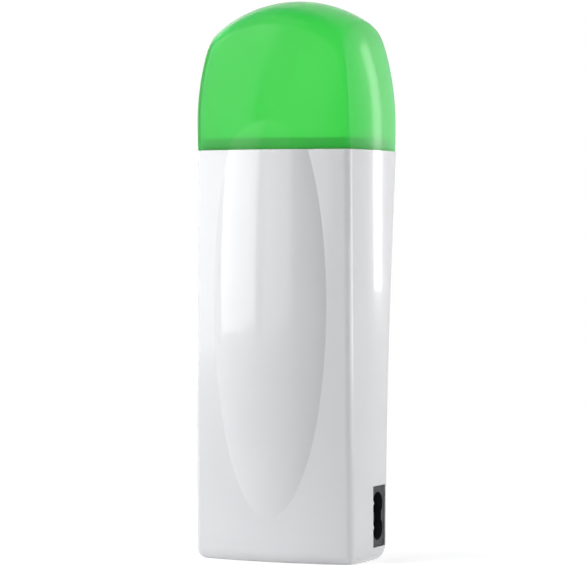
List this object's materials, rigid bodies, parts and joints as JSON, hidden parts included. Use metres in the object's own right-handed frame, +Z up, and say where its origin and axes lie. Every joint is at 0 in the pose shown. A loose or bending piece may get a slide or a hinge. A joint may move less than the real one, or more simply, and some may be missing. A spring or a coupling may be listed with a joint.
{
  "type": "roll-on wax heater",
  "caption": "Hand-held warmer for roll-on wax cartridges: tapered white housing with a raised leaf, lift-off translucent green cap and a mains inlet low on one side.",
  "frame": {"origin": "on the base plane, under the middle of the bounding box", "axes": "+Z up from the base to the cap, front with the raised leaf faces -Y, mains inlet faces +X"},
  "size_m": [0.0624, 0.0562, 0.1969],
  "materials": {
    "body_white": "glossy injection-moulded white",
    "cap_green": "glossy translucent green, milky",
    "holder_white": "satin heat-resistant plastic",
    "screw_steel": "zinc plated",
    "plate_aluminium": "brushed",
    "film_amber": "smooth polyimide film",
    "contact_brass": "rolled sheet",
    "ceramic_grey": "dull fired ceramic with silvered faces",
    "sheet_steel": "plain pressed sheet",
    "fuse_steel": "tinned",
    "sleeve_rubber": "glass-fibre silicone sleeve",
    "inlet_black": "satin black moulding",
    "pin_steel": "nickel plated",
    "lead_brown": "wire insulation",
    "lead_blue": "wire insulation"
  },
  "bodies": {
    "heater": {"front_shell": "body_white", "rear_cover": "body_white", "cartridge_holder": "holder_white", "case_screws": "screw_steel", "clamp_screws": "screw_steel", "heater_plate": "plate_aluminium", "film_front": "film_amber", "film_rear": "film_amber", "electrode_front": "contact_brass", "electrode_rear": "contact_brass", "ceramic_upper": "ceramic_grey", "ceramic_lower": "ceramic_grey", "clamp_plate": "sheet_steel", "thermal_fuse": "fuse_steel", "fuse_sleeve": "sleeve_rubber", "inlet_housing": "inlet_black", "inlet_pin_live": "pin_steel", "inlet_pin_neutral": "pin_steel", "crimp_barrel_live": "contact_brass", "crimp_barrel_neutral": "contact_brass", "lead_live": "lead_brown", "lead_fused": "lead_brown", "lead_neutral": "lead_blue"},
    "cap": {"cap": "cap_green"}
  },
  "joints": [
    {"name": "cap_lift", "type": "slide", "parent": "heater", "child": "cap", "axis": [0, 0, 1], "range_m": [0, 0.06]}
  ]
}
